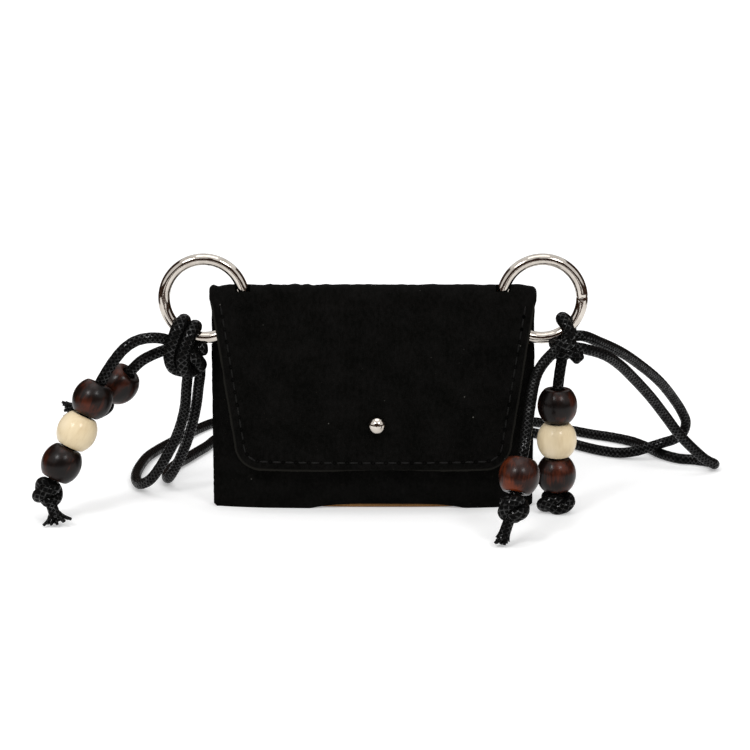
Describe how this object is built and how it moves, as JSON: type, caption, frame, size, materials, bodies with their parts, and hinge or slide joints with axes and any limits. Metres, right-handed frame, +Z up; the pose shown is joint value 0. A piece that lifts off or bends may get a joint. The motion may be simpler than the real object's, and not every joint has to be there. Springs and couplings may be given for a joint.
{
  "type": "envelope pouch",
  "caption": "Small suede envelope pouch with a stud-closed flap, metal rings, a double cord strap and knotted tassels of wooden beads.",
  "frame": {"origin": "on the standing surface, below the middle of the pouch with its rings and stud", "axes": "+X to the picture's right along the pouch's width, -Y out of the front with its flap, +Z up"},
  "size_m": [0.2184, 0.154, 0.0808],
  "materials": {
    "suede": "black suede with a short nap, unlit matt",
    "lining": "thin tan leather, satin",
    "nickel": "polished nickel plate",
    "cord": "braided waxed cotton cord, soft gloss",
    "dark_wood": "dark stained wood, varnished",
    "cream_wood": "pale cream wood, satin varnish"
  },
  "bodies": {
    "root": {"back_panel": "suede", "front_panel": "suede", "pocket_lining": "lining", "closure_stud": "nickel", "stud_screw": "nickel", "ring_knot_left": "cord", "ring_knot_right": "cord", "strap_a_left": "cord", "strap_a_right": "cord", "strap_b_left": "cord", "strap_b_right": "cord", "coil_a": "cord", "coil_b": "cord", "coil_tie": "cord", "tail_left_long": "cord", "tail_left_short": "cord", "tail_right_long": "cord", "tail_right_short": "cord", "tail_left_long_knot": "cord", "tail_left_short_knot": "cord", "tail_right_long_knot": "cord", "tail_right_short_knot": "cord"},
    "flap": {"flap": "suede", "flap_lining": "lining"},
    "ring_left": {"ring_left": "nickel"},
    "ring_right": {"ring_right": "nickel"},
    "bead_left_1": {"bead_left_1": "dark_wood"},
    "bead_left_2": {"bead_left_2": "cream_wood"},
    "bead_left_3": {"bead_left_3": "dark_wood"},
    "bead_left_4": {"bead_left_4": "dark_wood"},
    "bead_right_1": {"bead_right_1": "dark_wood"},
    "bead_right_2": {"bead_right_2": "cream_wood"},
    "bead_right_3": {"bead_right_3": "dark_wood"},
    "bead_right_4": {"bead_right_4": "dark_wood"}
  },
  "joints": [
    {"name": "flap_hinge", "type": "hinge", "parent": "root", "child": "flap", "pos_m": [0, -0.00079, 0.0659], "axis": [-1, 0, 0], "range_deg": [0, 160]},
    {"name": "ring_left_spin", "type": "hinge", "parent": "root", "child": "ring_left", "pos_m": [-0.0519, 0.00321, 0.0668], "axis": [0, 1, 0], "continuous": true},
    {"name": "ring_right_spin", "type": "hinge", "parent": "root", "child": "ring_right", "pos_m": [0.0519, 0.00321, 0.0668], "axis": [0, 1, 0], "continuous": true},
    {"name": "bead_left_1_spin", "type": "hinge", "parent": "root", "child": "bead_left_1", "pos_m": [-0.0859, -0.00559, 0.0372], "axis": [-0.4375, -0.1802, -0.881], "continuous": true},
    {"name": "bead_left_2_spin", "type": "hinge", "parent": "root", "child": "bead_left_2", "pos_m": [-0.09069, -0.00756, 0.02755], "axis": [-0.4375, -0.1802, -0.881], "continuous": true},
    {"name": "bead_left_3_spin", "type": "hinge", "parent": "root", "child": "bead_left_3", "pos_m": [-0.09548, -0.00953, 0.01791], "axis": [-0.4375, -0.1802, -0.881], "continuous": true},
    {"name": "bead_left_4_spin", "type": "hinge", "parent": "root", "child": "bead_left_4", "pos_m": [-0.0792, 0.00801, 0.0388], "axis": [-0.6585, 0.1896, -0.7283], "continuous": true},
    {"name": "bead_right_1_spin", "type": "hinge", "parent": "root", "child": "bead_right_1", "pos_m": [0.0568, -0.00159, 0.03425], "axis": [0, 0, -1], "continuous": true},
    {"name": "bead_right_2_spin", "type": "hinge", "parent": "root", "child": "bead_right_2", "pos_m": [0.0568, -0.00159, 0.0233], "axis": [0, 0, -1], "continuous": true},
    {"name": "bead_right_3_spin", "type": "hinge", "parent": "root", "child": "bead_right_3", "pos_m": [0.0568, -0.00159, 0.01235], "axis": [0, 0, -1], "continuous": true},
    {"name": "bead_right_4_spin", "type": "hinge", "parent": "root", "child": "bead_right_4", "pos_m": [0.0434, -0.03219, 0.0202], "axis": [-0.1918, -0.4046, -0.8941], "continuous": true}
  ]
}
